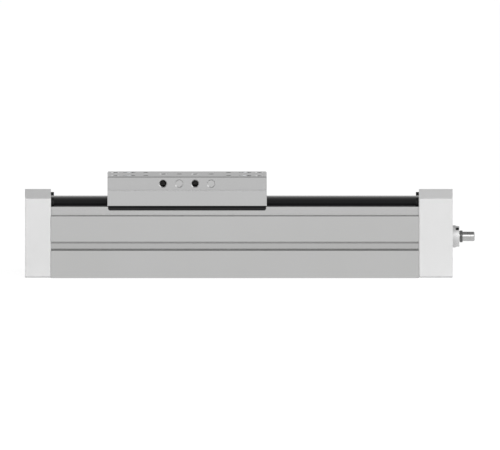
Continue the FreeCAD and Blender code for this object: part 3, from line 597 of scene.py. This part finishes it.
@dataclass
class BaseProfile:
    """The extruded base with its black cover, rail and rail screws."""

    edge_mm: float = 0.2
    groove_back_mm: float = 31.3
    half_width_mm: float = 34.5
    groove_low_mm: float = 18.3
    groove_high_mm: float = 21.6
    groove_top_mm: float = 23.2
    groove_margin_mm: float = 1.0
    undercut_rise: float = 0.5
    shelf_top_mm: float = 38.95
    shelf_slack_mm: float = 0.1
    rim_outer_mm: float = 26.0

    def is_groove_inside(self, middle: Vector, _normal: Vector) -> bool:
        """Pick the back of both side grooves, which get painted shade.

        Args:
            middle: The face's middle, in metres.
            _normal: The face's normal, which does not matter here.

        Returns:
            True for a face at the back of a groove.
        """
        at_height = self.groove_low_mm < middle.z / MM < self.groove_high_mm
        inner = self.groove_back_mm - self.groove_margin_mm
        outer = self.half_width_mm - self.groove_margin_mm
        return at_height and inner < abs(middle.y) / MM < outer

    def is_undercut(self, middle: Vector, normal: Vector) -> bool:
        """Pick the sloping faces of the undercuts above both side grooves, which get painted light.

        Args:
            middle: The face's middle, in metres.
            normal: The face's normal.

        Returns:
            True for a sloping face of an undercut.
        """
        at_height = self.groove_high_mm < middle.z / MM < self.groove_top_mm
        behind = abs(middle.y) / MM < self.groove_back_mm
        return at_height and behind and abs(normal.z) > self.undercut_rise

    def is_shelf(self, middle: Vector, normal: Vector) -> bool:
        """Pick the flat shelves beside the channel's rims, which get painted shade.

        Args:
            middle: The face's middle, in metres.
            normal: The face's normal.

        Returns:
            True for a face of a shelf.
        """
        outside = abs(middle.y) / MM > self.rim_outer_mm
        at_height = abs(middle.z / MM - self.shelf_top_mm) < self.shelf_slack_mm
        return outside and at_height and normal.z > LEVEL_RISE

    def dress(self, paints: Paintbox) -> None:
        """Coat the extrusion, the cover and what lies in the channel.

        Args:
            paints: The materials.
        """
        paints.coat("base_profile", EXTRUDED_ALUMINIUM)
        # The backs of the grooves get painted shade.
        paints.coat_faces("base_profile", GROOVE_PAINTED_SHADE_ALUMINIUM, self.is_groove_inside)
        # The undercuts get painted light.
        paints.coat_faces("base_profile", UNDERCUT_PAINTED_LIGHT_ALUMINIUM, self.is_undercut)
        # The shelves get painted shade.
        paints.coat_faces("base_profile", SHELF_PAINTED_SHADE_ALUMINIUM, self.is_shelf)
        break_edges("base_profile", self.edge_mm)
        paints.coat("top_cover", BLACK_ALUMINIUM)
        paints.coat("guide_rail", GROUND_STEEL)
        paints.coat("rail_screws", PLATED_STEEL)


@dataclass
class EndCaps:
    """The two end caps with their screws, bumpers and tapped end faces."""

    motor_threads: Bores = Bores(
        axis=0, middles_mm=((-16, 7.3), (16, 7.3), (-16, 39.3), (16, 39.3)),
        radius_mm=M4_CORE_MM, mouth_mm=136.8, inward=-1, thread_mm=9, pitch_mm=M4_PITCH_MM,
    )
    foot_threads: Bores = Bores(
        axis=0, middles_mm=((-14, 9.3), (14, 9.3), (-14, 37.3), (14, 37.3)),
        radius_mm=M4_CORE_MM, mouth_mm=-131.75, inward=1, thread_mm=9, pitch_mm=M4_PITCH_MM,
    )

    def build(self, paints: Paintbox) -> None:
        """Cut the threads in the caps' end faces.

        Args:
            paints: The materials.
        """
        # The thread ridges in the caps' end faces get the dark grey of painted shade.
        tapped = paints.made[TAPPED_PAINTED_SHADE_ALUMINIUM.name]
        for use, bores in (("motor", self.motor_threads), ("foot", self.foot_threads)):
            maker = bmesh.new()
            bores.cut_threads(maker)
            finish_piece(f"{use}_thread_ridges", maker, tapped, Body.BASE)

    def dress(self, paints: Paintbox) -> None:
        """Coat both caps and what is fixed in them.

        Args:
            paints: The materials.
        """
        for side in ("left", "right"):
            paints.coat(f"end_cap_{side}", POWDER_COAT)
            paints.coat(f"end_cap_screws_{side}", PLATED_STEEL)
            paints.coat(f"bumpers_{side}", RUBBER)
        # The tapped holes in the caps' end faces get painted shade.
        paints.coat_faces("end_cap_right", TAPPED_PAINTED_SHADE_ALUMINIUM, self.motor_threads.holds)
        paints.coat_faces("end_cap_left", TAPPED_PAINTED_SHADE_ALUMINIUM, self.foot_threads.holds)


@dataclass
class Slide:
    """The saddle and table with their seals, plugs and screws, and the driver block below.

    The lip's section gives inset from the seal's outer face and drop from its top. The seal's end
    gives distance from the end and the share of the drop that is left there.
    """

    edge_mm: float = 0.15
    port_bevel_mm: float = 0.9
    bevel_slope: Point = (0.3, 0.95)
    bevel_spread: float = 0.3
    screw_spots_mm: tuple[Point, ...] = ((-66.4, -11.3), (-66.4, 11.3), (6.4, -11.3), (6.4, 11.3))
    screw_seat_mm: float = 7.6
    seat_slack_mm: float = 0.1
    table_side_mm: float = 19.45
    sleeve_bore_mm: float = 3.4
    sleeve_width_mm: float = 5.16
    sleeve_edge_mm: float = 0.1
    sleeve_steps: int = 48
    lip: tuple[Point, ...] = (
        (0, 0), (0, 0.8), (0.3, 1.05), (0.4, 1.5), (0.25, 2.3), (0, 2.8), (0.1, 2.95),
        (0.4, 2.85), (0.8, 2.2), (1.0, 1.4), (1.1, 1.05), (1.4, 0.8), (1.4, 0),
    )
    seal_end: tuple[Point, ...] = ((0.0, 0.6), (0.3, 0.86), (0.9, 1.0))
    located_threads: Bores = Bores(
        axis=2,
        middles_mm=((-75.2, -11.3), (-75.2, 11.3), (15.2, -11.3), (15.2, 11.3), (-45.1, 0), (-25, 0)),
        radius_mm=M4_CORE_MM, mouth_mm=61.4, inward=-1, thread_mm=5.5, pitch_mm=M4_PITCH_MM,
    )
    plain_threads: Bores = Bores(
        axis=2, middles_mm=((-56, -11.3), (-56, 11.3), (-4, -11.3), (-4, 11.3), (-35, 0), (-14.9, 0)),
        radius_mm=M4_CORE_MM, mouth_mm=62.6, inward=-1, thread_mm=6.5, pitch_mm=M4_PITCH_MM,
    )
    front_ports: Bores = Bores(
        axis=1, middles_mm=PORTS_MM,
        radius_mm=M5_CORE_MM, mouth_mm=-18.5, inward=1, thread_mm=9, pitch_mm=M5_PITCH_MM,
    )
    rear_ports: Bores = Bores(
        axis=1, middles_mm=PORTS_MM,
        radius_mm=M5_CORE_MM, mouth_mm=18.5, inward=-1, thread_mm=9, pitch_mm=M5_PITCH_MM,
    )

    def build(self, paints: Paintbox) -> None:
        """Cut the table's threads, turn its sleeves, and mould the two lipped seals.

        Args:
            paints: The materials.
        """
        # The thread ridges of the table and its ports get the dark grey of painted shade.
        tapped = paints.made[TAPPED_PAINTED_SHADE_ALUMINIUM.name]
        maker = bmesh.new()
        self.located_threads.cut_threads(maker)
        self.plain_threads.cut_threads(maker)
        finish_piece("table_thread_ridges", maker, tapped, Body.SLIDE)
        maker = bmesh.new()
        self.front_ports.cut_threads(maker)
        self.rear_ports.cut_threads(maker)
        finish_piece("port_thread_ridges", maker, tapped, Body.SLIDE)
        self.build_sleeves(paints)
        for side, face in (("front", -1), ("rear", 1)):
            self.build_seal(paints, side, face)

    def build_sleeves(self, paints: Paintbox) -> None:
        """Turn the locating sleeves: ground outside and brightened near white as painted highlight, with a
        bore painted near black as shade.

        Args:
            paints: The materials.
        """
        low, high = (corner[2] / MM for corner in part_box("locating_sleeves"))
        inside = self.sleeve_bore_mm / 2
        outside = self.sleeve_width_mm / 2
        edge = self.sleeve_edge_mm
        section = (
            (inside, low), (outside - edge, low), (outside, low + edge), (outside, high - edge),
            (outside - edge, high), (inside + edge, high), (inside, high - edge),
        )
        maker = bmesh.new()
        for x, y in self.located_threads.middles_mm:
            rows = []
            for step in range(self.sleeve_steps):
                angle = math.tau * step / self.sleeve_steps
                ring = [(x + r * math.cos(angle), y + r * math.sin(angle), z) for r, z in section]
                rows.append([maker.verts.new(Vector(place) * MM) for place in ring])
            for n, row in enumerate(rows):
                for m in range(len(section)):
                    face = maker.faces.new((rows[n - 1][m - 1], row[m - 1], row[m], rows[n - 1][m]))
                    # The bore's faces take the second material, which is painted shade.
                    face.material_index = int(m == 0)
        # The sleeves' outside is brightened near white as painted highlight.
        polished = paints.made[POLISHED_STEEL_PAINTED_HIGHLIGHT.name]
        sleeves = finish_piece("turned_locating_sleeves", maker, polished, Body.SLIDE)
        sleeves.data.materials.append(paints.made[SLEEVE_BORE_PAINTED_SHADE.name])
        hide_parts("locating_sleeves")

    def build_seal(self, paints: Paintbox, side: str, face: int) -> None:
        """Run one lipped seal along the saddle's lower edge.

        Args:
            paints: The materials.
            side: Name of the side it is on.
            face: -1 for the front, 1 for the rear.
        """
        node = f"side_seal_{side}"
        low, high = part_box(node)
        outer = low[1] if face < 0 else high[1]
        stations = [(low[0] + along * MM, share) for along, share in self.seal_end]
        stations += [(high[0] - along * MM, share) for along, share in reversed(self.seal_end)]
        maker = bmesh.new()
        rows = []
        for x, share in stations:
            ring = [(x, outer - face * inset * MM, high[2] - share * drop * MM) for inset, drop in self.lip]
            rows.append([maker.verts.new(place) for place in ring])
        skin(maker, rows)
        acetal = paints.made[ACETAL.name]
        seal = finish_piece(f"lipped_seal_{side}", maker, acetal, Body.SLIDE)
        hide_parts(node)

    def is_port_bevel(self, middle: Vector, normal: Vector) -> bool:
        """Pick the cut bevels at the mouths of the ports, which get painted glints.

        Args:
            middle: The face's middle, in metres.
            normal: The face's normal.

        Returns:
            True for a face of a bevel.
        """
        near_face = self.table_side_mm - abs(middle.y) / MM < self.port_bevel_mm
        least, most = self.bevel_slope
        sloping = least < abs(normal.y) < most
        return near_face and sloping and abs(normal.x) + abs(normal.z) > self.bevel_spread

    def is_screw_seat(self, middle: Vector, _normal: Vector) -> bool:
        """Pick the counterbores of the table's screws, whose shade is lifted with painted light.

        Args:
            middle: The face's middle, in metres.
            _normal: The face's normal, which does not matter here.

        Returns:
            True for a face in a counterbore.
        """
        spot = (middle.x / MM, middle.y / MM)
        reach = self.screw_seat_mm / 2 + self.seat_slack_mm
        return any(math.dist(spot, screw) < reach for screw in self.screw_spots_mm)

    def dress(self, paints: Paintbox) -> None:
        """Coat the moving pieces.

        Args:
            paints: The materials.
        """
        paints.coat("slide_saddle", MILLED_ALUMINIUM)
        break_edges("slide_saddle", self.edge_mm)
        paints.coat("slide_table", MILLED_ALUMINIUM)
        # The table's tapped holes and ports get painted shade.
        for bores in (self.located_threads, self.plain_threads, self.front_ports):
            paints.coat_faces("slide_table", TAPPED_PAINTED_SHADE_ALUMINIUM, bores.holds)
        # The port bevels and screw counterbores get bare metal that is partly painted light.
        for chosen in (self.is_port_bevel, self.is_screw_seat):
            paints.coat_faces("slide_table", BARE_ALUMINIUM_PAINTED_LIGHT, chosen)
        paints.coat("port_plugs", MILLED_ALUMINIUM)
        paints.coat("table_screws", PLATED_STEEL)
        paints.coat("driver_block", MILLED_ALUMINIUM)
        for node in ("guide_carriage_left", "guide_carriage_right"):
            paints.coat(node, GROUND_STEEL)
        for node in ("carriage_screws", "saddle_screws", "nut_flange_screws"):
            paints.coat(node, PLATED_STEEL)
        for node in ("carriage_end_caps", "nut_wipers"):
            paints.coat(node, ACETAL)
        paints.coat("ball_nut", TURNED_STEEL)


@dataclass
class Drive:
    """The screw with its bearings, the bearing cover and the drive stub.

    The plug's section gives radius and rise above the bearing cover's boss, from its foot up.
    """

    boss_radius_mm: float = 6.57
    plug_place_mm: float = 139.6
    plug_lean_deg: float = 51
    plug_section: tuple[Point, ...] = ((1.1, -0.3), (1.1, 0.15), (0.95, 0.3), (0.55, 0.38))
    plug_steps: int = 32

    def build(self, paints: Paintbox) -> None:
        """Press a rubber plug into the grease hole of the bearing cover.

        Args:
            paints: The materials.
        """
        lean = math.radians(self.plug_lean_deg)
        out = Vector((0.0, -math.cos(lean), math.sin(lean)))
        along = Vector((1.0, 0.0, 0.0))
        across = out.cross(along)
        foot = Vector((self.plug_place_mm, 0.0, SCREW_AXIS_MM)) + out * self.boss_radius_mm
        maker = bmesh.new()
        rows = []
        for radius, rise in self.plug_section:
            row = []
            for step in range(self.plug_steps):
                angle = math.tau * step / self.plug_steps
                spoke = along * math.cos(angle) + across * math.sin(angle)
                row.append(maker.verts.new((foot + out * rise + spoke * radius) * MM))
            rows.append(row)
        skin(maker, rows)
        finish_piece("grease_hole_plug", maker, paints.made[RUBBER.name], Body.BASE)

    def dress(self, paints: Paintbox) -> None:
        """Coat the turning pieces and what holds them.

        Args:
            paints: The materials.
        """
        paints.coat("bearing_cover", BLASTED_STEEL)
        for node in ("screw_shaft", "bearing_lock_nut"):
            paints.coat(node, TURNED_STEEL)
        for bearing, plural in (("drive_bearing", "s"), ("support_bearing", "")):
            for ring in ("outer_ring", "inner_ring", "ball_ring"):
                paints.coat(f"{bearing}_{ring}{plural}", GROUND_STEEL)
        for node in ("bearing_cover_screws", "retaining_ring"):
            paints.coat(node, PLATED_STEEL)
        paints.coat("shaft_seal_ring", POLISHED_RUBBER)


@dataclass(frozen=True, kw_only=True)
class Softbox:
    """A flat, evenly lit lamp that faces the object. Lengths are in metres."""

    name: str
    place: Triple
    width: float
    height: float
    power: float

    def build(self, target: Vector) -> None:
        """Hang the lamp in its place.

        Args:
            target: The point that it faces.
        """
        lamp = bpy.data.lights.new(self.name, "AREA")
        lamp.shape = "RECTANGLE"
        lamp.size = self.width
        lamp.size_y = self.height
        lamp.energy = self.power
        holder = bpy.data.objects.new(self.name, lamp)
        holder.location = self.place
        towards = target - holder.location
        holder.rotation_euler = towards.to_track_quat("-Z", "Y").to_euler()
        bpy.context.scene.collection.objects.link(holder)


@dataclass
class Studio:
    """The floor, the soft room, two lamps and the camera. Lengths are in metres.

    The camera has no vanishing point, as the photograph has none that can be measured.
    The sky gives levels of light against how far a direction lies towards the dim side.
    """

    elevation_deg: float = 5.04
    frame_width: float = 0.3139
    middle: Triple = (0.00948, 0.0, 0.0305)
    distance: float = 4.0
    view_depth: float = 100.0
    floor_reach: float = 30.0
    floor_glow: float = 0.915
    floor_shade: float = 0.2
    floor_colour: str = "#F4F4F4"
    dim_side: Triple = (-0.56, 0.16, 0.8)
    front_lamp: Softbox = Softbox(
        name="front_softbox", place=(0.0, -1.5, 0.85), width=2.4, height=1.1, power=16.0,
    )
    side_lamp: Softbox = Softbox(
        name="side_softbox", place=(0.25, 0.0, 0.25), width=0.14, height=0.14, power=0.085,
    )
    sky: tuple[Point, ...] = (
        (0.296, 1.0), (0.408, 0.55), (0.496, 0.3), (0.696, 0.06), (0.784, 0.5), (0.83, 0.5), (0.87, 0.06),
    )

    def build(self) -> None:
        """Make the floor, the world, both lamps and the camera."""
        self.build_floor()
        self.build_world()
        for lamp in (self.front_lamp, self.side_lamp):
            lamp.build(Vector(self.middle))
        self.build_camera()
        bpy.context.scene.view_settings.view_transform = "Standard"

    def build_floor(self) -> None:
        """Lay a pale floor, white to the eye, that still takes the object's shadow."""
        reach = self.floor_reach
        mesh = bpy.data.meshes.new("studio_floor")
        corners = [(-reach, -reach, 0), (reach, -reach, 0), (reach, reach, 0), (-reach, reach, 0)]
        mesh.from_pydata(corners, [], [(0, 1, 2, 3)])
        material = bpy.data.materials.new("pale_studio_floor")
        material.use_nodes = True
        tree = material.node_tree
        tree.nodes.clear()
        rays = add_node(tree, "ShaderNodeLightPath", {}).outputs
        seen = {0: rays["Is Camera Ray"], 1: rays["Is Glossy Ray"]}
        direct = add_node(tree, "ShaderNodeMath", seen, operation="ADD").outputs[0]
        through = {0: direct, 1: rays["Is Transmission Ray"]}
        shown = add_node(tree, "ShaderNodeMath", through, operation="ADD", use_clamp=True).outputs[0]
        white = {"Color": grey(1.0), "Strength": self.floor_glow}
        glow = add_node(tree, "ShaderNodeEmission", white).outputs[0]
        shade = add_node(tree, "ShaderNodeBsdfDiffuse", {"Color": grey(self.floor_shade)}).outputs[0]
        bright = add_node(tree, "ShaderNodeAddShader", {0: glow, 1: shade}).outputs[0]
        plain = add_node(tree, "ShaderNodeBsdfDiffuse", {"Color": linear(self.floor_colour)}).outputs[0]
        both = add_node(tree, "ShaderNodeMixShader", {0: shown, 1: plain, 2: bright}).outputs[0]
        add_node(tree, "ShaderNodeOutputMaterial", {"Surface": both})
        mesh.materials.append(material)
        floor = bpy.data.objects.new("studio_floor", mesh)
        bpy.context.scene.collection.objects.link(floor)

    def build_world(self) -> None:
        """Make a soft room, white low down and to the right, dim high up and to the left.

        A lighter band runs straight overhead, which the upper edges of the metal pick up.
        """
        world = bpy.data.worlds.new("soft_room")
        world.use_nodes = True
        bpy.context.scene.world = world
        tree = world.node_tree
        tree.nodes.clear()
        place = add_node(tree, "ShaderNodeTexCoord", {}).outputs["Generated"]
        towards = {0: place, 1: self.dim_side}
        height = add_node(tree, "ShaderNodeVectorMath", towards, operation="DOT_PRODUCT").outputs["Value"]
        ramp = add_node(tree, "ShaderNodeValToRGB", {"Fac": height})
        stops = ramp.color_ramp.elements
        while len(stops) < len(self.sky):
            stops.new(1.0)
        for stop, (spot, level) in zip(stops, self.sky):
            stop.position = spot
            stop.color = grey(level)
        light = {"Color": ramp.outputs["Color"], "Strength": 1.0}
        glow = add_node(tree, "ShaderNodeBackground", light).outputs[0]
        add_node(tree, "ShaderNodeOutputWorld", {"Surface": glow})

    def build_camera(self) -> None:
        """Set the camera at the photograph's angle and frame."""
        camera = bpy.data.cameras.new("photo_camera")
        camera.type = "ORTHO"
        camera.ortho_scale = self.frame_width
        camera.clip_end = self.view_depth
        holder = bpy.data.objects.new("photo_camera", camera)
        lift = math.radians(self.elevation_deg)
        back = Vector((0.0, -math.cos(lift), math.sin(lift)))
        holder.location = Vector(self.middle) + back * self.distance
        holder.rotation_euler = (-back).to_track_quat("-Z", "Y").to_euler()
        bpy.context.scene.collection.objects.link(holder)
        bpy.context.scene.camera = holder


def main() -> None:
    """Dress the sub-assemblies, build their added pieces, then set the studio."""
    logging.basicConfig(level=logging.INFO, format="%(name)s %(message)s")
    paints = Paintbox()
    end_caps = EndCaps()
    slide = Slide()
    drive = Drive()
    for part in (BaseProfile(), end_caps, slide, drive):
        part.dress(paints)
    for part in (end_caps, slide, drive):
        part.build(paints)
    Studio().build()


if __name__ == "__main__":
    main()
